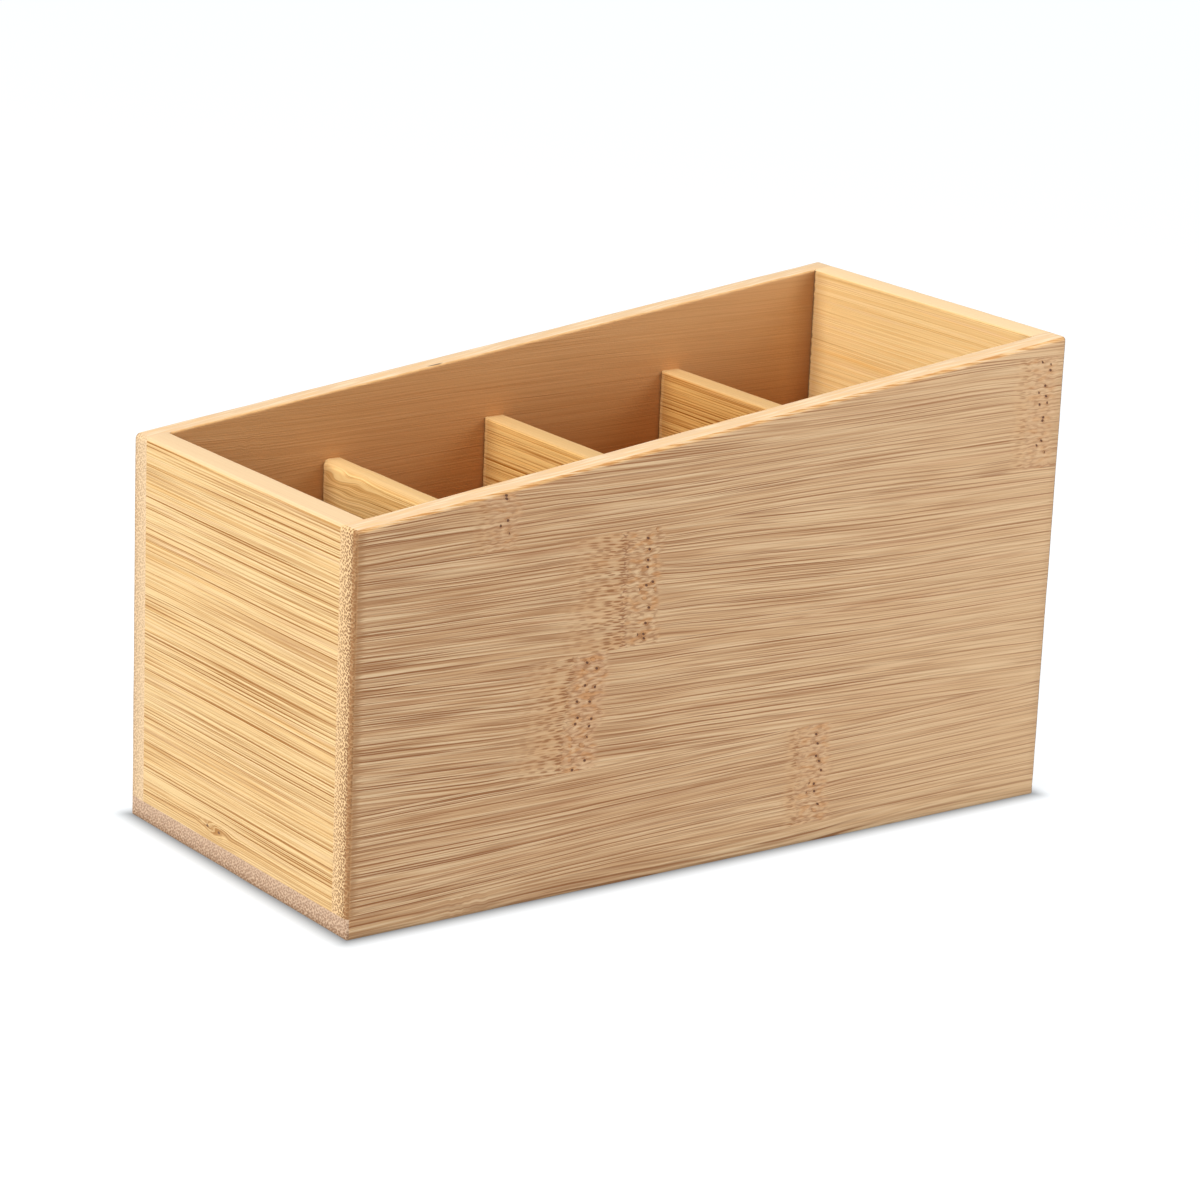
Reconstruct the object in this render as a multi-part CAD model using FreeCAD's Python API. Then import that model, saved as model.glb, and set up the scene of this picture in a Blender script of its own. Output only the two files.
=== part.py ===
import FreeCAD, Part
import os

# Bamboo pen holder: an open box with a sloping rim and three dividers.
# Frame: X along the length, from the low end to the high end; Y from the front face to the
# back face; Z up. The origin is the middle of the underside. All sizes are millimetres.

V = FreeCAD.Vector

# Outside of the box
LENGTH = 200.0
DEPTH = 95.0
LOW_HEIGHT = 93.0
HIGH_HEIGHT = 115.5

# Stock
BOARD = 6.0              # thickness of every upright board
BASE = 5.0               # thickness of the base that the uprights stand on
STRIP = 27.2             # full width of one bamboo strip in the flat-grain boards
FIRST_SEAM = 29.3        # height of the lowest glue line in the front and back panels

# Dividers: where each one's low side stands, and how far its top is sanded round
DIVIDER_LOW_SIDES = {"low_divider": -52.3, "middle_divider": -6.5, "high_divider": 46.4}
DIVIDER_ROUNDS = {"low_divider": 1.9, "middle_divider": 0.8, "high_divider": 0.8}
DIVIDER_DROP = 16.4      # from the rim down to a divider's top, at the divider's middle

# Sanded edges
CORNER_ROUND = 1.2       # upright corners and the rim's outer edge
UNDERSIDE_ROUND = 0.8
RIM_INNER_ROUND = 0.6

# Blind bamboo pins that hold the glued butt joints
PIN_RADIUS = 1.5
PIN_LENGTH = 12.0
PIN_CHAMFER = 0.3
PIN_IN_BOARD = 4.0       # depth in the face of a front or back panel
PIN_IN_BASE = 3.0
HOLE_SLACK = 0.05        # all round the pin
HOLE_GLUE_ROOM = 0.3     # past each end of the pin
END_PIN_INSET = 30.0     # base pins under an end panel, from the box's middle plane
SIDE_PIN_STEP = 74.0     # base pins under a front or back panel

TALL = 2 * HIGH_HEIGHT   # comfortably above the rim

X_LOW, X_HIGH = -LENGTH / 2, LENGTH / 2
Y_FRONT, Y_BACK = -DEPTH / 2, DEPTH / 2
X_LOW_IN, X_HIGH_IN = X_LOW + BOARD, X_HIGH - BOARD
Y_FRONT_IN, Y_BACK_IN = Y_FRONT + BOARD, Y_BACK - BOARD


def rim_height(x):
    """Height of the sloping rim at a place along the box."""
    return LOW_HEIGHT + (HIGH_HEIGHT - LOW_HEIGHT) * (x - X_LOW) / LENGTH


def block(x0, x1, y0, y1, z0, z1):
    return Part.makeBox(x1 - x0, y1 - y0, z1 - z0, V(x0, y0, z0))


def block_to_rim(x0, x1, y0, y1, z0, above=0.0):
    """A block whose top follows the rim's slope, or stands a little above it."""
    corners = [V(x0, y0, z0), V(x1, y0, z0),
               V(x1, y0, rim_height(x1) + above), V(x0, y0, rim_height(x0) + above)]
    return Part.Face(Part.makePolygon(corners + corners[:1])).extrude(V(0, y1 - y0, 0))


def is_upright(edge):
    return abs(edge.tangentAt(edge.FirstParameter).z) > 0.99


def rounded_outside():
    """The box's outside as a solid, with its upright, rim and underside edges sanded."""
    solid = block_to_rim(X_LOW, X_HIGH, Y_FRONT, Y_BACK, 0)
    above_floor = [e for e in solid.Edges if e.BoundBox.ZMax > 1]
    solid = solid.makeFillet(CORNER_ROUND, above_floor)
    on_floor = [e for e in solid.Edges if e.BoundBox.ZMax < 0.01]
    return solid.makeFillet(UNDERSIDE_ROUND, on_floor)


def shell():
    """The box without its dividers, still in one piece."""
    cavity = block_to_rim(X_LOW_IN, X_HIGH_IN, Y_FRONT_IN, Y_BACK_IN, BASE, above=1)
    solid = rounded_outside().cut(cavity)

    def on_inner_rim(edge):
        mid = edge.valueAt((edge.FirstParameter + edge.LastParameter) / 2)
        inside = (X_LOW_IN - 0.01 <= mid.x <= X_HIGH_IN + 0.01
                  and Y_FRONT_IN - 0.01 <= mid.y <= Y_BACK_IN + 0.01)
        return inside and abs(mid.z - rim_height(mid.x)) < 0.01 and not is_upright(edge)

    return solid.makeFillet(RIM_INNER_ROUND, [e for e in solid.Edges if on_inner_rim(e)])


def cut_boards(box):
    """Every board of the shell, by node name: strips where the board is laid up from them."""
    boards = {}

    base_strips = ["base_front_strip", "base_front_middle_strip",
                   "base_back_middle_strip", "base_back_strip"]
    base_seams = [Y_FRONT, -STRIP, 0, STRIP, Y_BACK]
    for name, y0, y1 in zip(base_strips, base_seams, base_seams[1:]):
        boards[name] = box.common(block(X_LOW, X_HIGH, y0, y1, 0, BASE))

    seams = [BASE] + [FIRST_SEAM + STRIP * i for i in range(4)] + [TALL]
    for side, y0, y1 in (("front", Y_FRONT, Y_FRONT_IN), ("back", Y_BACK_IN, Y_BACK)):
        for level, z0, z1 in zip(("bottom", "lower", "middle", "upper", "corner"), seams, seams[1:]):
            strip = box.common(block(X_LOW, X_HIGH, y0, y1, z0, z1))
            boards[f"{side}_panel_{level}_strip"] = strip

    for name, x0, x1 in (("low_end_panel", X_LOW, X_LOW_IN), ("high_end_panel", X_HIGH_IN, X_HIGH)):
        boards[name] = box.common(block(x0, x1, Y_FRONT_IN, Y_BACK_IN, BASE, TALL))
    return boards


def divider_top(x0):
    return rim_height(x0 + BOARD / 2) - DIVIDER_DROP


def divider(x0, rounding):
    """One divider: a plain board with the two long edges of its top sanded round."""
    top = divider_top(x0)
    board = block(x0, x0 + BOARD, Y_FRONT_IN, Y_BACK_IN, BASE, top)
    long_edges = [e for e in board.Edges if e.BoundBox.ZMin > top - 0.01 and e.Length > BOARD + 1]
    return board.makeFillet(rounding, long_edges)


def rod(start, direction, radius, length):
    return Part.makeCylinder(radius, length, start, direction)


def pin(start, direction):
    body = rod(start, direction, PIN_RADIUS, PIN_LENGTH)
    rings = [e for e in body.Edges if e.Closed and hasattr(e.Curve, "Radius")]
    return body.makeChamfer(PIN_CHAMFER, rings)


def hole(start, direction):
    mouth = start - direction * HOLE_GLUE_ROOM
    return rod(mouth, direction, PIN_RADIUS + HOLE_SLACK, PIN_LENGTH + 2 * HOLE_GLUE_ROOM)


def pins_into_side_panels(x, heights):
    """Pins that stand in the front and back panels and run into an upright board's two ends."""
    places = []
    for z in heights:
        places.append((V(x, Y_FRONT_IN - PIN_IN_BOARD, z), V(0, 1, 0)))
        places.append((V(x, Y_BACK_IN + PIN_IN_BOARD, z), V(0, -1, 0)))
    return places


def strip_middle(number):
    """Height of the middle of a side strip; 0 is the bottom one, which stands on the base."""
    if number == 0:
        return (BASE + FIRST_SEAM) / 2
    return FIRST_SEAM + STRIP * (number - 0.5)


def pin_places():
    """Where every pin starts and which way it runs, by node name."""
    places = {
        "low_end_pins": pins_into_side_panels(X_LOW + BOARD / 2, [strip_middle(0), strip_middle(2)]),
        "high_end_pins": pins_into_side_panels(X_HIGH - BOARD / 2, [strip_middle(0), strip_middle(3)]),
    }
    for name, x0 in DIVIDER_LOW_SIDES.items():
        heights = [strip_middle(0), strip_middle(2)]
        places[f"{name}_pins"] = pins_into_side_panels(x0 + BOARD / 2, heights)

    z, up = BASE - PIN_IN_BASE, V(0, 0, 1)
    under_sides = [V(i * SIDE_PIN_STEP, side * (Y_BACK - BOARD / 2), z)
                   for i in (-1, 0, 1) for side in (-1, 1)]
    under_ends = [V(end * (X_HIGH - BOARD / 2), side * END_PIN_INSET, z)
                  for end in (-1, 1) for side in (-1, 1)]
    places["base_pins"] = [(start, up) for start in under_sides + under_ends]
    return places


def drill(board, holes):
    """Take away the pin holes that reach into a board."""
    near = [h for h in holes if board.BoundBox.intersect(h.BoundBox)]
    return board.cut(near) if near else board


def build_nodes():
    boards = cut_boards(shell())
    for name, x0 in DIVIDER_LOW_SIDES.items():
        boards[name] = divider(x0, DIVIDER_ROUNDS[name])

    places = pin_places()
    holes = [hole(*place) for group in places.values() for place in group]
    nodes = {name: drill(board, holes) for name, board in boards.items()}
    for name, group in places.items():
        nodes[name] = Part.makeCompound([pin(*place) for place in group])
    return nodes


def main():
    os.makedirs("parts", exist_ok=True)
    for name, shape in build_nodes().items():
        if not shape.isValid() or not shape.Solids:
            raise ValueError(f"{name} is not a valid solid")
        shape.exportStep(f"parts/{name}.step")
        size = shape.BoundBox
        print(f"{name}: {len(shape.Solids)} solid(s), {shape.Volume / 1000:.2f} cm3,"
              f" {size.XLength:.1f} x {size.YLength:.1f} x {size.ZLength:.1f} mm")


main()
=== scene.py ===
import math

import bmesh
import bpy
from mathutils import Matrix, Vector, noise


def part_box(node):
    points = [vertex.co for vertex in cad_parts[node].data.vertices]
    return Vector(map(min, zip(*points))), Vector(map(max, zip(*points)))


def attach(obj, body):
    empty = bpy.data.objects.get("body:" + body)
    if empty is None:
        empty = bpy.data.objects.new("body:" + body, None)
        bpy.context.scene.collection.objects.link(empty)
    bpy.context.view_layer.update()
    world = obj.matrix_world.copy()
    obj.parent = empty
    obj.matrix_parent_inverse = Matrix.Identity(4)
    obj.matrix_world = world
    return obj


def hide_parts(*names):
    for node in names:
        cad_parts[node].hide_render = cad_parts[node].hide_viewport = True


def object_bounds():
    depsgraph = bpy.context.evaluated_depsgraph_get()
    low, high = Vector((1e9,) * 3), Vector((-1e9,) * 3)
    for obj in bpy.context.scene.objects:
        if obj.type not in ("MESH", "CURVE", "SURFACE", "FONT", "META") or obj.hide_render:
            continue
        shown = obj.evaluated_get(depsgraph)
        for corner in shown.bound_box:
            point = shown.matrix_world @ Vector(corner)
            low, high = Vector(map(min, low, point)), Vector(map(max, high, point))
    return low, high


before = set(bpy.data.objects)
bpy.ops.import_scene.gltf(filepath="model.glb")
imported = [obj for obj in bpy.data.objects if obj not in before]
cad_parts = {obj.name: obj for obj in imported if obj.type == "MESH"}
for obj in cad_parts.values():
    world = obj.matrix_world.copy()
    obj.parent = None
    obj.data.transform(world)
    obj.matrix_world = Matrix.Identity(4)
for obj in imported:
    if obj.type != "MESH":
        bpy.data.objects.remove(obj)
CAD_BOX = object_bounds()

# ---------------------------------------------------------------- sizes, in millimetres ----
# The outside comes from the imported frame; the rim's two heights are before its edge is sanded.
MM = 0.001
X0, Y0, _ = (v / MM for v in CAD_BOX[0])
X1, Y1, CAD_TOP = (v / MM for v in CAD_BOX[1])
RIM_LOW, RIM_HIGH = 93.0, 115.5


def node_box(node):
    low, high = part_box(node)
    return [v / MM for v in low], [v / MM for v in high]


BASE_TOP = node_box("base_front_strip")[1][2]
X0_IN = node_box("low_end_panel")[1][0]
X1_IN = node_box("high_end_panel")[0][0]
Y0_IN, Y1_IN = node_box("low_divider")[0][1], node_box("low_divider")[1][1]
CORNER_STRIP_START = node_box("front_panel_corner_strip")[0][0]

CORNER_ROUND = 1.2       # upright corners and the rim's outer edge
UNDERSIDE_ROUND = 0.8
MOUTH_ROUND = 0.6        # the rim's inner edge
DIVIDER_EASE = 0.5       # a divider's upright edges
UNEVEN, ROUGH = 0.22, 0.1                # how far a sanded edge swells and thins, as a share
UNEVEN_PER_MM, ROUGH_PER_MM = 0.06, 0.35

# Where to cut a mesh: closely where an edge is round, and about this often between, in mm.
ROUND_STEPS = (0, 0.12, 0.28, 0.46, 0.7, 1.0)
STEP_ALONG, STEP_THROUGH, STEP_ACROSS, STEP_UP = 4.0, 3.0, 5.0, 6.0
STEP_FINE = 2.0
CLOSEST_CUTS = 0.02
SHARP_EDGE = math.radians(35)
ABOVE_RIM = 2 * RIM_HIGH                 # a board with no level top of its own


def rim_height(x):
    return RIM_LOW + (RIM_HIGH - RIM_LOW) * (x - X0) / (X1 - X0)


def clamp(value, low, high):
    return max(low, min(high, value))


def add(name, data):
    """Puts a new object that holds this data into the scene."""
    thing = bpy.data.objects.new(name, data)
    bpy.context.scene.collection.objects.link(thing)
    return thing


# --------------------------------------------------------------------------- geometry ----

def cuts(low, high, step, round_low=0.0, round_high=0.0, also=()):
    """Where to cut a stretch: closely at its sanded ends, and in even steps between them."""
    places = {low, high, *(p for p in also if low < p < high)}
    places |= {low + round_low * s for s in ROUND_STEPS}
    places |= {high - round_high * s for s in ROUND_STEPS}
    start, end = low + round_low, high - round_high
    count = max(1, round((end - start) / step))
    places |= {start + (end - start) * i / count for i in range(count + 1)}
    merged = []
    for place in sorted(places):
        if not merged or place - merged[-1] > CLOSEST_CUTS:
            merged.append(place)
    return merged


def sanding(p, radius):
    """The radius that the sandpaper left near a point: a little more here, a little less there."""
    uneven = UNEVEN * noise.noise(Vector(p) * UNEVEN_PER_MM)
    rough = ROUGH * noise.noise(Vector(p) * ROUGH_PER_MM)
    return radius * (1 + uneven + rough)


def pull_in(p, centre, r):
    """Brings a point that is further than r from a centre to r from it."""
    centre = Vector(centre)
    out = Vector(p) - centre
    return tuple(centre + out * (r / out.length)) if out.length > r else p


def sand_outside(p):
    """Rounds the box's upright corners, the rim's outer edge and the edge round the underside."""
    x, y, z = p
    r = sanding(p, CORNER_ROUND)
    within = clamp(x, X0 + r, X1 - r), clamp(y, Y0 + r, Y1 - r)
    x, y, z = pull_in(p, (*within, min(z, rim_height(x) - r)), r)
    r = sanding(p, UNDERSIDE_ROUND)
    if z < r:
        within = clamp(x, X0 + r, X1 - r), clamp(y, Y0 + r, Y1 - r)
        x, y, z = pull_in((x, y, z), (*within, r), r)
    return x, y, min(z, CAD_TOP)


def sand_mouth(p):
    """Eases the rim's inner edge, all round the mouth of the box."""
    x, y, z = p
    past_x = max(X0_IN - x, x - X1_IN)
    past_y = max(Y0_IN - y, y - Y1_IN)
    past, below = max(past_x, past_y), rim_height(x) - z
    r = sanding(p, MOUTH_ROUND)
    if past < -0.001 or past >= r or below >= r:
        return p
    across, down = r - past, r - below
    length = math.hypot(across, down)
    if length <= r:
        return p
    shift = (r - r * across / length) - past
    if past_x > past_y:
        x += math.copysign(shift, x)
    else:
        y += math.copysign(shift, y)
    return x, y, z - ((r - r * down / length) - below)


def lattice(name, xs, ys, levels, shape):
    """A closed block of quads. levels(x) gives its heights at x, and shape moves each point."""
    mesh = bmesh.new()
    heights = [levels(x) for x in xs]
    nx, ny, nz = len(xs), len(ys), len(heights[0])
    points = {}

    def point(i, j, k):
        if (i, j, k) not in points:
            place = shape((xs[i], ys[j], heights[i][k]))
            points[i, j, k] = mesh.verts.new(Vector(place) * MM)
        return points[i, j, k]

    def side(count_u, count_v, at):
        for u in range(count_u - 1):
            for v in range(count_v - 1):
                mesh.faces.new([point(*at(u, v)), point(*at(u + 1, v)),
                                point(*at(u + 1, v + 1)), point(*at(u, v + 1))])

    for k in (0, nz - 1):
        side(nx, ny, lambda u, v: (u, v, k))
    for j in (0, ny - 1):
        side(nx, nz, lambda u, v: (u, j, v))
    for i in (0, nx - 1):
        side(ny, nz, lambda u, v: (i, u, v))
    bmesh.ops.remove_doubles(mesh, verts=mesh.verts, dist=1e-6)
    bmesh.ops.recalc_face_normals(mesh, faces=mesh.faces)

    data = bpy.data.meshes.new(name)
    mesh.to_mesh(data)
    mesh.free()
    data.shade_smooth()
    data.set_sharp_from_angle(angle=SHARP_EDGE)
    return add(name, data)


def settle(piece, node, material):
    """Gives a finished piece its material and its place in the frame."""
    piece.data.materials.append(material)
    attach(piece, "root")
    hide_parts(node)


LONG_CUTS = cuts(X0, X1, STEP_ALONG, CORNER_ROUND, CORNER_ROUND,
                 also=[X0_IN - MOUTH_ROUND, X0_IN, X0_IN + MOUTH_ROUND,
                       X1_IN - MOUTH_ROUND, X1_IN, X1_IN + MOUTH_ROUND, CORNER_STRIP_START])


def level_maker(bottom, top, round_top, step):
    """Heights for a block whose top may follow the rim, the same number of them at every x."""
    count = max(2, round((min(top, RIM_HIGH) - bottom) / step))

    def levels(x):
        ceiling = min(top, rim_height(x))
        shoulder = max(bottom, ceiling - round_top)
        even = [bottom + (shoulder - bottom) * i / count for i in range(count + 1)]
        edge = [max(bottom, ceiling - round_top * s) for s in reversed(ROUND_STEPS[:-1])]
        return even + (edge if round_top else [])
    return levels


def side_strip(node, material):
    """One bamboo strip of the front or back panel."""
    low, high = node_box(node)
    reaches_rim = "upper" in node or "corner" in node
    start = CORNER_STRIP_START if "corner" in node else X0
    top = ABOVE_RIM if "corner" in node else high[2]
    if low[1] < 0:
        ys = cuts(Y0, Y0_IN, STEP_THROUGH, CORNER_ROUND, MOUTH_ROUND)
    else:
        ys = cuts(Y1_IN, Y1, STEP_THROUGH, MOUTH_ROUND, CORNER_ROUND)
    levels = level_maker(low[2], top, CORNER_ROUND if reaches_rim else 0.0, STEP_UP)
    xs = [x for x in LONG_CUTS if x >= start - 0.01]
    piece = lattice(f"{node}_wood", xs, ys, levels, lambda p: sand_mouth(sand_outside(p)))
    settle(piece, node, material)


def base_strip(node, material):
    """One bamboo strip of the base."""
    low, high = node_box(node)
    outer_low = CORNER_ROUND if low[1] < Y0 + 1 else 0.0
    outer_high = CORNER_ROUND if high[1] > Y1 - 1 else 0.0
    ys = cuts(low[1], high[1], STEP_ACROSS, outer_low, outer_high)
    zs = cuts(low[2], high[2], STEP_FINE, UNDERSIDE_ROUND)
    piece = lattice(f"{node}_wood", LONG_CUTS, ys, lambda x: zs, sand_outside)
    settle(piece, node, material)


def end_panel(node, material):
    """The low or high end, between the front and back panels."""
    if node_box(node)[0][0] < 0:
        xs = cuts(X0, X0_IN, STEP_THROUGH, CORNER_ROUND, MOUTH_ROUND)
    else:
        xs = cuts(X1_IN, X1, STEP_THROUGH, MOUTH_ROUND, CORNER_ROUND)
    ys = cuts(Y0_IN, Y1_IN, STEP_ALONG)
    levels = level_maker(BASE_TOP, ABOVE_RIM, CORNER_ROUND, STEP_UP)
    piece = lattice(f"{node}_wood", xs, ys, levels, lambda p: sand_mouth(sand_outside(p)))
    settle(piece, node, material)


def divider(node, top_round, material):
    """A divider: its top's long edges are sanded round, and its upright edges are eased."""
    low, high = node_box(node)

    def shape(p):
        x, y, z = p
        r = sanding(p, DIVIDER_EASE)
        within = clamp(x, low[0] + r, high[0] - r), clamp(y, low[1] + r, high[1] - r)
        x, y, z = pull_in(p, (*within, z), r)
        r = sanding(p, top_round)
        return pull_in((x, y, z), (clamp(x, low[0] + r, high[0] - r), y, min(z, high[2] - r)), r)

    xs = cuts(low[0], high[0], STEP_FINE, top_round, top_round)
    ys = cuts(low[1], high[1], STEP_ALONG, DIVIDER_EASE, DIVIDER_EASE)
    zs = cuts(low[2], high[2], STEP_UP, 0.0, top_round)
    piece = lattice(f"{node}_wood", xs, ys, lambda x: zs, shape)
    settle(piece, node, material)


# -------------------------------------------------------------------- patterns in nodes ----
# Bamboo is worked out in millimetres: "along" the fibres, "across" them, and "depth" below
# the outer skin of the cane.

NOISE_MIDDLE, NOISE_SPREAD = 0.5, 2.6    # what makes Blender's noise run from about -1 to 1
SPECULAR = 0.35


class Num:
    """A number at each point of a surface. Arithmetic on it adds the shader nodes."""

    def __init__(self, socket):
        self.socket = socket

    def __add__(self, other):
        return calc("ADD", self, other)

    def __sub__(self, other):
        return calc("SUBTRACT", self, other)

    def __mul__(self, other):
        return calc("MULTIPLY", self, other)

    def __truediv__(self, other):
        return calc("DIVIDE", self, other)

    def __rsub__(self, other):
        return calc("SUBTRACT", other, self)

    __radd__, __rmul__ = __add__, __mul__

    def __neg__(self):
        return self * -1.0

    def __abs__(self):
        return calc("ABSOLUTE", self)

    def ramp(self, start, end, smooth=True):
        """0 up to start and 1 from end on. Where end is the smaller, it falls instead."""
        node = self.socket.id_data.nodes.new("ShaderNodeMapRange")
        node.interpolation_type = "SMOOTHSTEP" if smooth else "LINEAR"
        falls = end < start
        fill(node.inputs[0], self)
        node.inputs[1].default_value, node.inputs[2].default_value = sorted((start, end))
        node.inputs[3].default_value, node.inputs[4].default_value = (1, 0) if falls else (0, 1)
        return Num(node.outputs[0])


def fill(socket, value):
    if isinstance(value, Num):
        socket.id_data.links.new(value.socket, socket)
    else:
        socket.default_value = value


def calc(operation, *values):
    tree = next(v.socket.id_data for v in values if isinstance(v, Num))
    node = tree.nodes.new("ShaderNodeMath")
    node.operation = operation
    for socket, value in zip(node.inputs, values):
        fill(socket, value)
    return Num(node.outputs[0])


def most(a, b):
    return calc("MAXIMUM", a, b)


def point(x, y, z=0.0):
    tree = x.socket.id_data
    node = tree.nodes.new("ShaderNodeCombineXYZ")
    for socket, value in zip(node.inputs, (x, y, z)):
        fill(socket, value)
    return node.outputs[0]


def clouds(x, y, z=0.0, detail=0.0):
    """Soft noise, from about -1 to 1, with features about one unit across."""
    place = point(x, y, z)
    node = place.id_data.nodes.new("ShaderNodeTexNoise")
    place.id_data.links.new(place, node.inputs["Vector"])
    node.inputs["Scale"].default_value = 1.0
    node.inputs["Detail"].default_value = detail
    return (Num(node.outputs[0]) - NOISE_MIDDLE) * NOISE_SPREAD


def cells(x, y, randomness=1.0):
    """Scattered points about one unit apart: the distance to the nearest, and its own number."""
    place = point(x, y)
    tree = place.id_data
    node = tree.nodes.new("ShaderNodeTexVoronoi")
    node.voronoi_dimensions = "2D"
    tree.links.new(place, node.inputs["Vector"])
    node.inputs["Scale"].default_value = 1.0
    node.inputs["Randomness"].default_value = randomness
    split = tree.nodes.new("ShaderNodeSeparateColor")
    tree.links.new(node.outputs["Color"], split.inputs[0])
    return Num(node.outputs["Distance"]), Num(split.outputs[0])


class Finish:
    """One material. Colours are painted on a layer at a time, and relief adds up."""

    def __init__(self, name, colour):
        self.material = bpy.data.materials.new(name)
        self.material.use_nodes = True
        self.tree = self.material.node_tree
        self.shader = self.tree.nodes["Principled BSDF"]
        coordinates = self.tree.nodes.new("ShaderNodeTexCoord")
        scale = self.tree.nodes.new("ShaderNodeVectorMath")
        scale.operation = "SCALE"
        scale.inputs["Scale"].default_value = 1 / MM
        self.tree.links.new(coordinates.outputs["Object"], scale.inputs[0])
        self.place = self.parts(scale.outputs[0])
        self.normal = self.parts(coordinates.outputs["Normal"])
        self.colour = colour

    def parts(self, vector):
        split = self.tree.nodes.new("ShaderNodeSeparateXYZ")
        self.tree.links.new(vector, split.inputs[0])
        return [Num(s) for s in split.outputs]

    def paint(self, amount, colour, blend="MIX"):
        node = self.tree.nodes.new("ShaderNodeMix")
        node.data_type = "RGBA"
        node.blend_type = blend
        fill(node.inputs[0], amount)
        for socket, value in ((node.inputs[6], self.colour), (node.inputs[7], colour)):
            if isinstance(value, tuple):
                socket.default_value = (*value, 1)
            else:
                self.tree.links.new(value, socket)
        self.colour = node.outputs[2]

    def done(self, relief, roughness):
        """relief is in millimetres above the surface."""
        self.tree.links.new(self.colour, self.shader.inputs["Base Color"])
        bump = self.tree.nodes.new("ShaderNodeBump")
        bump.inputs["Strength"].default_value = 1.0
        bump.inputs["Distance"].default_value = MM
        fill(bump.inputs["Height"], relief)
        self.tree.links.new(bump.outputs[0], self.shader.inputs["Normal"])
        fill(self.shader.inputs["Roughness"], roughness)
        self.shader.inputs["Specular IOR Level"].default_value = SPECULAR
        return self.material


# ---------------------------------------------------------------------- bamboo finishes ----

# Flat-grain wood.
TAN = (0.59, 0.34, 0.162)
STRAW = (0.68, 0.43, 0.225)
ROSY = (0.62, 0.34, 0.18)
CREAM = (0.79, 0.56, 0.325)
FIBRE = (0.31, 0.12, 0.034)
UMBER = (0.27, 0.10, 0.035)              # ridges and glue lines
PORE = (0.14, 0.05, 0.018)
HALO = (0.60, 0.27, 0.085)               # the stain round a pore or a dash
INNER_PAINTED_SHADE = (0.84, 0.44, 0.16)              # painted shade: the inner side of the panels, redder for the bounce light in the box
LOW_PAINTED_SHADE = (0.50, 0.20, 0.055)          # painted shade on that side, low down in the box
CORNER_PAINTED_SHADE = (0.36, 0.14, 0.04)        # and painted shade in its far corner
DEEP_PAINTED_SHADE = (0.72, 0.52, 0.32)              # a multiplier, painted shade: redder and darker towards the high end and lower in the box
# The rim and the cut ends.
SAWN = (0.74, 0.54, 0.335)
GILT = (0.78, 0.47, 0.19)                # the rim's rounded edge
FLAME = (0.50, 0.21, 0.05)
WORN = (0.86, 0.68, 0.46)
NICK = (0.05, 0.02, 0.01)
END_DOT = (0.22, 0.09, 0.022)
# The skin's dense fibres at a cut end, with painted shade on the rounded corner
FRINGE_AND_SHADE = (0.36, 0.17, 0.06)
FRONT_CUT, BACK_CUT, BASE_CUT = (0.70, 0.46, 0.225), (0.68, 0.49, 0.29), (0.54, 0.37, 0.26)
# Edge-grain wood.
GROUND = (0.87, 0.575, 0.255)
GOLD = (0.86, 0.50, 0.16)
LINE = (0.40, 0.155, 0.01)
BLUSH = (0.91, 0.63, 0.36)
SHELL = (0.94, 0.69, 0.35)
DIVIDER_TOP = (0.62, 0.41, 0.19)
PIT = (0.16, 0.06, 0.015)
# Painted inside the box: shade near the panels, a highlight on the joint's lip, shade in the
# crevice.
INDOOR_PAINTED_SHADE = (0.42, 0.20, 0.07)
LIP_HIGHLIGHT = (0.88, 0.66, 0.38)
CREVICE_SHADE = (0.09, 0.03, 0.012)

PIN = (0.72, 0.44, 0.20)

SLANT = 0.6            # how far the fibres lean as they go through a board, mm per mm
ROWS = 5.9             # the regular rows of fibres, in radians per mm across
SLAT = 5.6             # one strip of an edge-grain board, mm


def grain(along, across, length, pitch, sharp=0.3):
    """Wandering lines along the grain: how dark the dark ones are, and how pale the pale ones."""
    wander = clouds(along / length, across / pitch)
    return wander.ramp(0.08, 0.08 + sharp), wander.ramp(-0.12, -0.12 - sharp)


def lenses(along, across, length, pitch, width, chance):
    """Separate dark streaks, each as dark as its luck, and the pale wood on both sides of them."""
    near, luck = cells(along / length, across / pitch)
    luck = luck.ramp(chance, 0.9, smooth=False)
    dark = near.ramp(width, width * 0.45) * luck
    return dark, near.ramp(width * 2.1, width * 1.3) * luck - dark


def band(t, start, end, soft=0.8):
    return t.ramp(start - soft, start + soft) * t.ramp(end + soft, end - soft)


def knuckle(at, middle, slant=0.0, spacing=600.0, reach=5.0, width=9.0, pores=(2.0, 7.5),
            ridge=0.4, strength=0.8, blush=0.2):
    """Where a strip crosses the cane's joint: at, leaning by slant, and how it looks there."""
    return dict(at=at, middle=middle, slant=slant, spacing=spacing, reach=reach, width=width,
                pores=pores, ridge=ridge, strength=strength, blush=blush)


NO_KNUCKLE = knuckle(-900.0, 0.0, spacing=4000.0)      # far off the board


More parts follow.
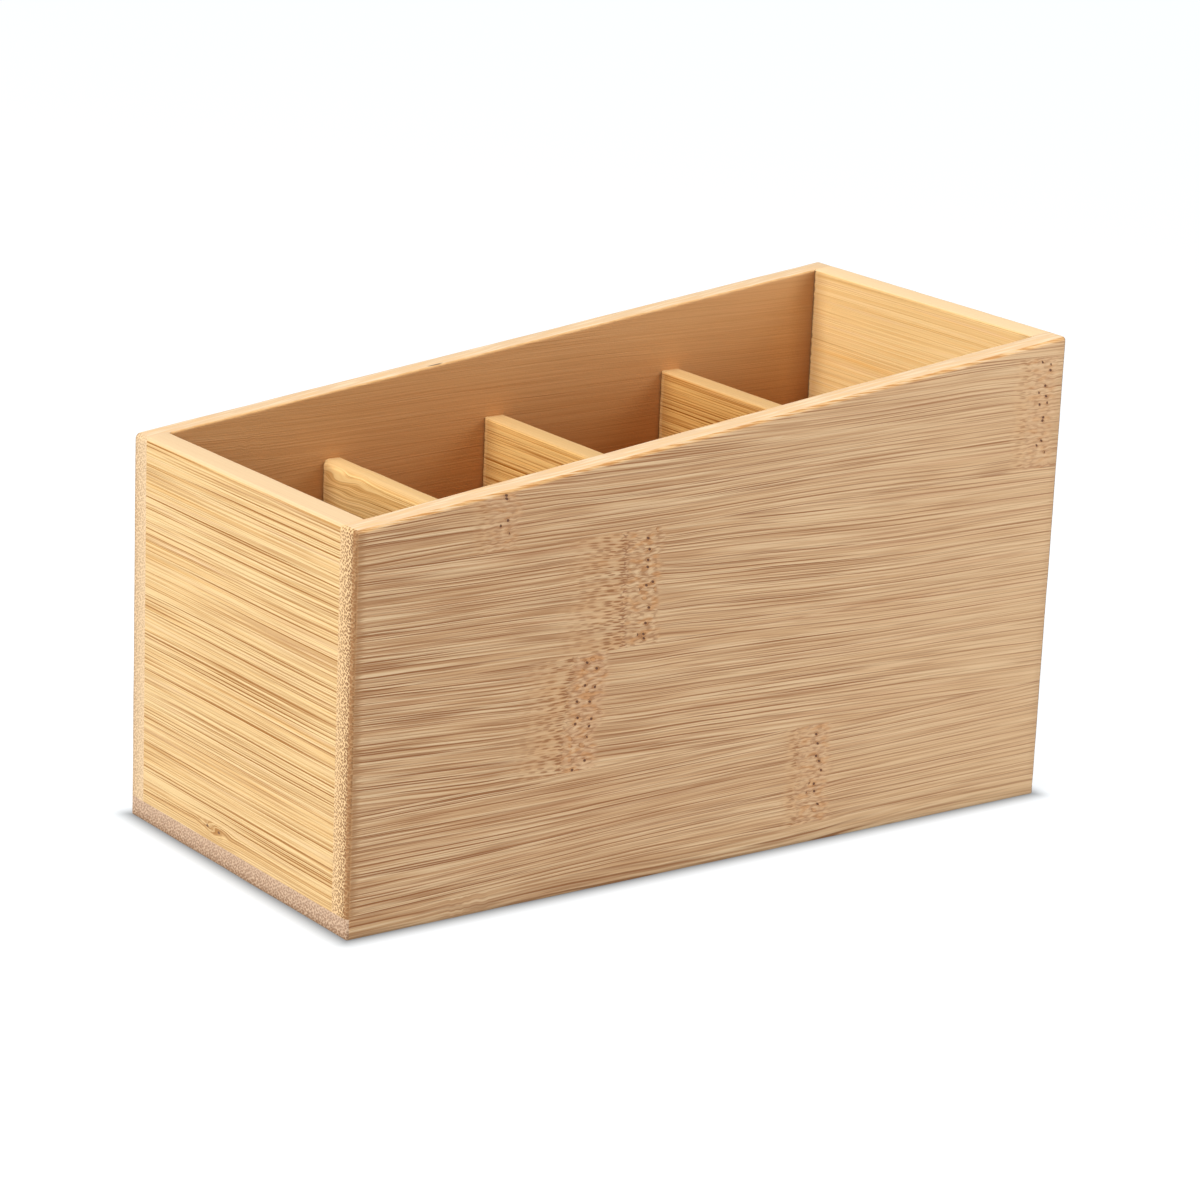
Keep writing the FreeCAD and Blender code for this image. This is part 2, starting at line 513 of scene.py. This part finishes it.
def draw_knuckle(f, knot, t, across, c, shift, shown):
    """Dashes that thicken to a ridge, then a band of pores and curls. Returns its relief."""
    k = knot["strength"] * shown
    reach = knot["reach"]
    zone = t.ramp(-reach, -reach * 0.15, smooth=False) * t.ramp(1.0, -0.5) * k
    near, luck = cells(t / 3.4, c / 0.6, randomness=0.9)
    dash = near.ramp(0.38, 0.2) * luck.ramp(0.0, 0.4) * zone
    shade = clouds(t / 8.0, across / 4.0, shift) * 0.6 + 0.5
    f.paint(zone * shade * 0.45, HALO)
    f.paint(near.ramp(0.42, 0.6) * zone * 0.3, CREAM)
    f.paint(dash * 0.9, FIBRE)

    ridge = clouds(t / 1.0, across / 0.35, shift + 3.0).ramp(0.0, 0.3) \
        * abs(t + 0.4).ramp(1.6, 0.3) * (knot["ridge"] * shown)
    f.paint(ridge * 0.7, UMBER)

    ragged = t + clouds(across / 1.6, shift + 1.0, t / 6.0) * 1.6
    inside = band(ragged, 0.5, knot["width"], soft=1.5) * k
    f.paint(inside * knot["blush"] * 0.7, ROSY)
    patches = clouds(t / 3.2, across / 1.4, shift + 8.0)
    f.paint(patches.ramp(0.0, 0.5) * inside * 0.6, HALO)
    curls = clouds(t / 1.8, across / 0.55, shift + 13.0)
    f.paint(curls.ramp(0.1, 0.4) * inside * 0.5, FIBRE)
    f.paint(curls.ramp(-0.25, -0.55) * inside * 0.45, CREAM)

    near, luck = cells(t / 3.1 + 0.5, across / 2.5 + t * 0.1 + shift, randomness=0.75)
    among = band(t, knot["pores"][0], knot["pores"][1], soft=0.3) * k
    f.paint(abs(near - 0.22).ramp(0.07, 0.02) * curls.ramp(-0.1, 0.1) * among * 0.7, FIBRE)
    f.paint(near.ramp(0.26, 0.13) * among * 0.5, HALO)
    pores = near.ramp(0.17, 0.09) * luck.ramp(0.2, 0.25) * among.ramp(0.3, 0.6)
    f.paint(pores, PORE)
    return (curls * inside * 0.6 - dash - ridge) * 0.03 - pores * 0.1


def draw_end_grain(f, across, depth, colour, contrast, size=1.0):
    """The cut ends: bundles of fibre seen end on, bigger and darker towards the skin."""
    end = abs(f.normal[0]).ramp(0.25, 0.5)
    near, _ = cells((depth + across * 0.55) / size, (across - depth * 0.45) / (0.85 * size),
                    randomness=0.7)
    skin = depth.ramp(6.5, 0.3, smooth=False)
    dots = (0.28 + skin * 0.15 - near).ramp(-0.07, 0.07) * end * contrast
    f.paint(end * 0.92, colour)
    f.paint(near.ramp(0.42, 0.6) * end * 0.3 * contrast, CREAM)
    f.paint(dots * (0.5 + 0.5 * skin), END_DOT)
    f.paint(end * depth.ramp(2.2, 0.1) * (0.5 * contrast), END_DOT)
    return dots * -0.09


def flat_grain(name, cane, seed, knot, tilt, seams, cut_end=FRONT_CUT, cut_contrast=1.0,
               cut_size=0.8, scar=0.0):
    """A strip laid flat: fine streaks, the odd knuckle, and dots of end grain at its ends.

    cane says how the strip lies, and seams are where its glue lines are, across the fibres.
    """
    f = Finish(name, TAN)
    along, across, depth, outward = cane(f)
    shift = 37.0 * seed
    wall = cane is not from_below
    rim = f.normal[2].ramp(0.8, 0.95) if wall else depth * 0.0
    shown = outward.ramp(0.5, 0.8) if wall else abs(outward).ramp(0.5, 0.8)

    # How far a point is past the knuckle, which holds the grain apart round it.
    t = along - knot["at"] - knot["slant"] * (across - knot["middle"])
    t = calc("WRAP", t, knot["spacing"] / 2, -knot["spacing"] / 2)
    t = t + clouds(across / 5.0, along / 30.0, shift) * 1.1
    swell = band(t, -16.0, 22.0, soft=14.0)

    bend = clouds(along / 90.0, across / 18.0, shift + 5.0) * 1.3
    bend = bend + clouds(along / 26.0, across / 7.0, shift + 9.0) * (0.06 + 0.5 * swell)
    bend = bend + clouds(along / 9.0, across / 2.0, shift + 2.0) * 0.05
    bend = bend + clouds(t / 1.8, across / 1.3, shift + 6.0) * band(t, -1.0, knot["width"]) * 0.28
    c = across + bend + along * tilt + depth * SLANT + shift * 3.0
    a = along + shift * 3.0 + depth * 9.0

    inner = (-outward).ramp(0.5, 0.8) if wall else depth * 0.0
    quiet = t.ramp(-knot["reach"], -knot["reach"] * 0.5) \
        * t.ramp(knot["width"] + 1.0, knot["width"] - 1.0)
    strength = (1.0 - 0.5 * inner) * (1.0 - 0.6 * rim) * (1.0 - 0.3 * quiet * shown) \
        * (1.0 - along * 0.003)

    tones = clouds(a / 130.0, c / 2.6, detail=2.0)
    # The tone wanders at random; along * 0.006 adds painted light, paler towards the high end and
    # darker towards the low end.
    f.paint(tones * 0.55 + 0.4 + along * 0.006, STRAW)
    rosy = clouds(a / 110.0 + 40.0, c / 2.0, detail=1.0)
    f.paint(rosy.ramp(0.0, 0.7) * 0.3, ROSY)
    crowd = clouds(a / 80.0 + 9.0, c / 4.0, detail=1.0).ramp(-0.6, 0.5)

    long_dark, long_pale = grain(a, c, 60.0, 0.4, sharp=0.22)
    short_dark, short_pale = grain(a + 300.0, c, 20.0, 0.25, sharp=0.35)
    heavy, beside = lenses(a, c, 105.0, 0.95, 0.22, 0.1)
    rows = calc("COSINE", c * ROWS + clouds(a / 70.0, c / 2.2, shift) * 1.6)
    rows = rows.ramp(0.45, 0.95) * clouds(a / 48.0, c / 0.9, shift + 50.0).ramp(-0.45, 0.35)
    f.paint(long_pale * 0.5 * strength, CREAM)
    f.paint(short_pale * 0.35 * strength, CREAM)
    f.paint(beside * 0.55 * strength, CREAM)
    f.paint(short_dark * 0.38 * strength, FIBRE)
    f.paint(long_dark * (0.1 + 0.25 * crowd) * strength, FIBRE)
    f.paint(rows * (0.65 + 0.3 * crowd) * strength, FIBRE)
    f.paint(heavy * (0.8 + 0.3 * crowd) * strength, FIBRE)
    # Painted shade inside the box: the inner side redder, darker low down and in the far corner,
    # and darker still towards the high end.
    f.paint(inner * 0.58, INNER_PAINTED_SHADE)
    if wall:
        corner = (X1_IN - along).ramp(9.0, 0.0)
        f.paint(inner * f.place[2].ramp(96.0, 45.0) * 0.5, LOW_PAINTED_SHADE)
        f.paint(inner * corner * 0.5, CORNER_PAINTED_SHADE)
        f.paint(inner * along.ramp(-110.0, 50.0) * f.place[2].ramp(108.0, 72.0), DEEP_PAINTED_SHADE, "MULTIPLY")
    relief = (long_pale + short_pale - long_dark - short_dark - heavy * 2.0) * 0.012 * strength
    relief = relief + draw_knuckle(f, knot, t, across, c, shift, shown)

    # Here and there the glue line between two strips shows.
    for seam in seams:
        gap = clouds(along / 9.0, shift, seam * 1.0).ramp(-0.2, 0.5)
        f.paint(abs(across - seam).ramp(0.28, 0.05) * gap * 0.5 * shown, UMBER)

    # The rounded edge of the rim cuts the fibres at a slant and is golden, with dark flames on
    # its outer side. The top is pale and worn, and scar is where the back has a nick.
    if wall:
        gilt = f.normal[2].ramp(0.15, 0.45) * (1.0 - rim)
        flame = clouds(along / 8.0, (across + depth) / 0.5 + along * 0.15, shift)
        f.paint(gilt * 0.75, GILT)
        rough = gilt * (1.0 - 0.8 * (-outward).ramp(0.0, 0.3))
        f.paint(rough * flame.ramp(-0.1, 0.25) * 0.85, FLAME)
        f.paint(rough * flame.ramp(-0.1, -0.4) * 0.7, SAWN)
        f.paint(rim * 0.75, SAWN)
        worn = clouds(along / 10.0, depth / 0.8 + along * 0.05, shift + 30.0)
        f.paint(rim * worn.ramp(0.0, 0.5) * 0.4, GILT)
        f.paint(rim * worn.ramp(-0.1, -0.5) * 0.5, WORN)
        if scar:
            chip = abs(along - scar + clouds(depth / 0.5, shift) * 0.8).ramp(2.6, 1.2) \
                * abs(depth - 5.45 - (along - scar) * 0.06).ramp(0.32, 0.1)
            f.paint(chip * f.normal[2].ramp(0.0, 0.2) * 0.85, NICK)

    relief = relief + draw_end_grain(f, across, depth, cut_end, cut_contrast, cut_size)

    # The dark fringe where the skin meets the cut end, mostly at the low end: dense skin fibres and
    # painted shade on the rounded corner.
    if wall:
        tooth = clouds(across / 0.5, shift, shift) * 1.1 + 1.1
        fringe_and_shade = ((X1 - abs(along)) / tooth).ramp(2.8, 1.2) * depth.ramp(1.4, 0.6) * (1.0 - rim)
        f.paint(fringe_and_shade * (0.15 + 0.5 * along.ramp(60.0, -60.0)) * cut_contrast, FRINGE_AND_SHADE)

    return f.done(relief, 0.52 + short_dark * 0.05)


def edge_grain(name, seed, light, contrast=1.0, lines=1.0, top=SAWN, swirls=(), pores=()):
    """Strips stood on edge: long straight lines, crowded towards one side of each strip.

    light multiplies the colour as painted light and shade, lines the darkness of the dark lines,
    and contrast all lines.
    """
    f = Finish(name, GROUND)
    depth, along, across = f.place
    shift = 23.0 * seed
    a = along + shift * 5.0 + depth * 11.0

    # The grain runs round a swirl, pushed apart from its middle.
    pull, marks, curled = depth * 0.0, depth * 0.0, depth * 0.0
    for y, z, length, height, curl in swirls:
        lens = calc("EXPONENT", -(calc("POWER", abs(along - y) / length, 2.0)
                                  + calc("POWER", abs(across - z) / height, 2.0)))
        pull = pull - lens * (across - z) * 0.45
        marks = marks + lens
        curled = curled + lens.ramp(0.3, 0.8) * curl
    bend = clouds(along / 80.0, across / 20.0, shift) * 0.35
    bend = bend + clouds(along / 14.0, across / 3.0, shift) * 0.05
    bend = bend + clouds(along / 7.0, across / 2.5, shift + 4.0) * marks * 0.9
    level = across + bend + pull
    c = level + depth * SLANT

    rim = f.normal[2].ramp(0.3, 0.85)
    strength = (1.0 - 0.65 * rim) * contrast
    darkness = strength * lines

    slat = level / SLAT + seed * 0.37
    number = calc("FLOOR", slat)
    inside = slat - number
    _, luck = cells(number + 0.5, 0.5 + shift, randomness=0.0)
    flip = luck.ramp(0.49, 0.51)
    crowd = inside * (1.0 - 2.0 * flip) + flip

    tones = clouds(a / 110.0, c / 1.3, detail=2.0)
    f.paint(tones.ramp(-0.15, 0.7) * 0.8, GOLD)
    f.paint(luck.ramp(0.3, 1.0) * 0.3, SHELL)
    f.paint(clouds(a / 70.0, c / 1.5, 30.0, detail=2.0).ramp(0.0, 0.7) * 0.85, BLUSH)

    long_dark, long_pale = grain(a, c, 120.0, 0.34, sharp=0.2)
    fine_dark, fine_pale = grain(a + 300.0, c, 30.0, 0.22)
    heavy, beside = lenses(a, c, 240.0, 1.0, 0.24, 0.05)
    slight, _ = lenses(a + 90.0, c, 120.0, 0.62, 0.26, 0.0)
    crowded = 0.3 + 0.8 * crowd
    f.paint(long_pale * 0.65 * strength, SHELL)
    f.paint(fine_pale * 0.4 * strength, SHELL)
    f.paint(fine_dark * 0.35 * darkness, LINE)
    f.paint(beside * 0.75 * strength, SHELL)
    f.paint(long_dark * 0.5 * crowded * darkness, LINE)
    f.paint(slight * (0.3 + 0.8 * crowd) * darkness, LINE)
    f.paint(heavy * (0.9 + 0.2 * crowd) * darkness, LINE)

    curls = clouds(along / 2.5, level / 0.55, shift + 20.0)
    f.paint(curls.ramp(0.1, 0.4) * curled, LINE)
    f.paint(curls.ramp(-0.15, -0.4) * curled, SHELL)
    for y, z in pores:
        near = calc("SQRT", calc("POWER", abs(along - y) / 0.6, 2.0)
                    + calc("POWER", abs(across - z) / 0.35, 2.0))
        f.paint(near.ramp(1.3, 0.5) * 0.9, PIT)

    # Painted light and shade: the whole board made lighter or darker by light.
    f.paint(1.0, light, "MULTIPLY")
    f.paint(rim * 0.75, top)

    # Inside the box a board gets painted shade near the front and back panels, and meets them in a
    # ragged joint of painted crevice shade with a thin painted highlight on its lip.
    gap = Y1_IN - abs(along)
    ragged = clouds(across / 1.2, depth, shift) * 0.25
    indoors = abs(depth).ramp(X1 - 1.0, X1 - 2.0) * (1.0 - rim)
    f.paint(gap.ramp(7.0, 0.0) * indoors * 0.35, INDOOR_PAINTED_SHADE)
    f.paint(abs(gap + ragged - 1.0).ramp(0.7, 0.2) * indoors * 0.15, LIP_HIGHLIGHT)
    f.paint((gap + ragged).ramp(0.6, 0.2) * indoors * 0.75, CREVICE_SHADE)
    relief = (long_pale + fine_pale - fine_dark - long_dark * crowded - heavy) * 0.01 * strength
    return f.done(relief, 0.5 + fine_dark * 0.04)


# How a strip lies. Each gives along, across, depth below the skin, and how far the surface
# faces the way the skin does.

def from_front(f):
    x, y, z = f.place
    return x, z, y - Y0, -f.normal[1]


def from_back(f):
    x, y, z = f.place
    return x, z, Y1 - y, f.normal[1] * 1.0


def from_below(f):
    x, y, z = f.place
    return x, y, z, -f.normal[2]


KNUCKLES = {
    "front_panel_bottom_strip": knuckle(24.5, 17, width=9.5, pores=(3.5, 7.0), blush=0.35),
    "front_panel_lower_strip": knuckle(-42.5, 43, slant=0.13, reach=15, ridge=0.6, width=9.0,
                                       pores=(1.5, 7.0), strength=1.0, blush=0.55),
    "front_panel_middle_strip": knuckle(-28.0, 70, reach=19, ridge=1.0, width=9.0,
                                        pores=(3.5, 8.0), strength=1.0, blush=0.1),
    "front_panel_upper_strip": knuckle(-66.5, 97, spacing=155, width=8.5, pores=(3.5, 6.5),
                                       ridge=0.1, strength=0.6, blush=0.5),
    "back_panel_bottom_strip": knuckle(-58.0, 17, reach=7),
    "back_panel_lower_strip": knuckle(71.0, 43, reach=9, ridge=0.7, blush=0.5),
    "back_panel_middle_strip": knuckle(12.0, 70, slant=-0.1, reach=12, ridge=0.9),
    "back_panel_upper_strip": knuckle(-76.0, 97, reach=6),
    "base_front_strip": knuckle(-72.0, -37, reach=8),
    "base_front_middle_strip": knuckle(44.0, -13, reach=12, ridge=0.8),
    "base_back_middle_strip": knuckle(-15.0, 13, slant=0.1, reach=10, ridge=0.6, blush=0.5),
    "base_back_strip": knuckle(82.0, 37, reach=7),
    "front_panel_corner_strip": NO_KNUCKLE,
    "back_panel_corner_strip": NO_KNUCKLE,
}
TILTS = {"front_panel_middle_strip": 0.03, "front_panel_lower_strip": 0.035,
         "front_panel_bottom_strip": -0.01, "back_panel_middle_strip": -0.02}

# ------------------------------------------------------------------------------ build ----

for number, node in enumerate(sorted(KNUCKLES), 1):
    low, high = node_box(node)
    look = dict(knot=KNUCKLES[node], tilt=TILTS.get(node, 0.0))
    if node.startswith("base"):
        look.update(cut_end=BASE_CUT, cut_contrast=0.7, cut_size=0.75, seams=(low[1], high[1]))
        base_strip(node, flat_grain(f"{node}_finish", from_below, number, **look))
    elif node.startswith("back"):
        look.update(cut_end=BACK_CUT, cut_contrast=0.5, seams=(low[2], high[2]))
        look.update(scar=-21.0 if "upper" in node else 0.0)
        side_strip(node, flat_grain(f"{node}_finish", from_back, number, **look))
    else:
        look.update(seams=(low[2], high[2]))
        side_strip(node, flat_grain(f"{node}_finish", from_front, number, **look))

# A swirl is y, z, length, height and how much it curls, and a pore is y and z, in mm.
# light is painted light and shade: the low end darker, the middle and high dividers darker and
# redder, the high end and the low divider lighter.
end_panel("low_end_panel", edge_grain(
    "low_end_finish", 1, light=(0.77, 0.76, 0.74), contrast=1.15,
    swirls=((9.5, 8.3, 9.0, 2.4, 0.35),), pores=((12.0, 8.3), (6.9, 8.1))))
end_panel("high_end_panel", edge_grain(
    "high_end_finish", 2, light=(1.05, 1.06, 1.02), contrast=0.8, lines=0.45))
divider("low_divider", 1.9, edge_grain(
    "low_divider_finish", 3, light=(1.04, 1.02, 0.92), contrast=1.2, top=DIVIDER_TOP,
    swirls=((34.0, 79.5, 12.0, 5.0, 0.0),)))
divider("middle_divider", 0.8, edge_grain(
    "middle_divider_finish", 4, light=(0.84, 0.73, 0.53), contrast=1.3, top=DIVIDER_TOP))
divider("high_divider", 0.8, edge_grain(
    "high_divider_finish", 5, light=(0.76, 0.60, 0.38), contrast=1.3, top=DIVIDER_TOP))


def pin_grain(name, upright):
    """A bamboo pin: fine fibres along it, and dots of end grain on its ends."""
    f = Finish(name, PIN)
    x, y, z = f.place
    along, across, end = (z, y, f.normal[2]) if upright else (y, z, f.normal[1])
    dark, pale = grain(along, x + across * 1.7, 9.0, 0.3)
    f.paint(pale * 0.5, CREAM)
    f.paint(dark * 0.6, FIBRE)
    near, _ = cells(x / 0.5, across / 0.5)
    dots = near.ramp(0.4, 0.2) * abs(end).ramp(0.4, 0.7)
    f.paint(dots * 0.7, END_DOT)
    return f.done((pale - dark) * 0.02 - dots * 0.04, 0.55)


for node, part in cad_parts.items():
    if node.endswith("pins"):
        for place in part.material_slots:
            place.material = pin_grain(f"{node}_finish", node == "base_pins")


# --------------------------------------------------------------- floor, light, camera ----

PAPER = (0.25, 0.26, 0.27)
PAPER_GLOW, GLOW_STRENGTH = (0.95, 0.98, 1.0, 1), 0.76
CONTACT_SHADE = (0.05, 0.05, 0.05)
SHADE_START, SHADE_END = -4.0, 5.5       # mm from the footprint, where it is darkest and gone
FLOOR_HALF = 4.0                         # metres
LAMP_AIM = Vector((0, 0, 0.06))


def area_light(name, place, size, power, colour):
    """A square lamp that is aimed at the box. Its place and size are in metres."""
    lamp = bpy.data.lights.new(name, "AREA")
    lamp.shape = "SQUARE"
    lamp.size = size
    lamp.energy = power
    lamp.color = colour
    holder = add(name, lamp)
    holder.location = place
    holder.rotation_euler = (LAMP_AIM - Vector(place)).to_track_quat("-Z", "Y").to_euler()


def floor_finish():
    """White paper that glows a little, with a soft painted contact shadow close round the box."""
    f = Finish("floor_white", PAPER)
    x, y, _ = f.place
    past_x, past_y = most(abs(x) - X1, 0.0), most(abs(y) - Y1, 0.0)
    gap = calc("SQRT", past_x * past_x + past_y * past_y)
    # Painted contact shadow: the paper darkens and glows less close to the footprint.
    lit = gap.ramp(SHADE_START, SHADE_END)
    f.paint(1.0 - lit, CONTACT_SHADE)
    f.shader.inputs["Emission Color"].default_value = PAPER_GLOW
    fill(f.shader.inputs["Emission Strength"], lit * GLOW_STRENGTH)
    return f.done(0.0, 0.6)


def studio():
    """Soft daylight from above, a big softbox on the left and a small fill light in front."""
    world = bpy.data.worlds.new("studio")
    bpy.context.scene.world = world
    world.use_nodes = True
    background = world.node_tree.nodes["Background"]
    background.inputs["Color"].default_value = (0.97, 0.985, 1.0, 1)
    background.inputs["Strength"].default_value = 0.3

    sun = bpy.data.lights.new("overhead", "SUN")
    sun.energy = 1.85
    sun.angle = math.radians(18)
    add("overhead", sun)

    area_light("left_softbox", (-1.4, -0.1, 0.85), size=1.0, power=23.5, colour=(1.0, 0.97, 0.92))
    area_light("front_fill", (0.35, -0.35, 0.3), size=0.3, power=0.9, colour=(0.96, 0.98, 1.0))

    floor_mesh = bpy.data.meshes.new("floor")
    corners = [(x * FLOOR_HALF, y * FLOOR_HALF, 0) for x, y in ((-1, -1), (1, -1), (1, 1), (-1, 1))]
    floor_mesh.from_pydata(corners, [], [(0, 1, 2, 3)])
    floor = add("floor", floor_mesh)
    floor.data.materials.append(floor_finish())


CAMERA_AZIMUTH, CAMERA_ELEVATION, CAMERA_ROLL = -36.41, 16.515, 2.423   # degrees
CAMERA_DISTANCE = 0.9655
CAMERA_LENS, CAMERA_SENSOR = 121.87, 36
CAMERA_AIM = Vector((0, 0, 0.0513))
CAMERA_NEAR = 0.01


def camera():
    azimuth, elevation = math.radians(CAMERA_AZIMUTH), math.radians(CAMERA_ELEVATION)
    back = Vector((math.sin(azimuth) * math.cos(elevation),
                   -math.cos(azimuth) * math.cos(elevation), math.sin(elevation)))
    right = Vector((0, 0, 1)).cross(back).normalized()
    roll = Matrix.Rotation(math.radians(CAMERA_ROLL), 3, back)
    right = roll @ right
    up = back.cross(right)
    data = bpy.data.cameras.new("camera")
    data.lens = CAMERA_LENS
    data.sensor_width = CAMERA_SENSOR
    data.clip_start = CAMERA_NEAR
    view = add("camera", data)
    turn = Matrix((right, up, back)).transposed().to_4x4()
    view.matrix_world = Matrix.Translation(CAMERA_AIM + back * CAMERA_DISTANCE) @ turn
    bpy.context.scene.camera = view


studio()
camera()
bpy.context.scene.view_settings.view_transform = "Standard"
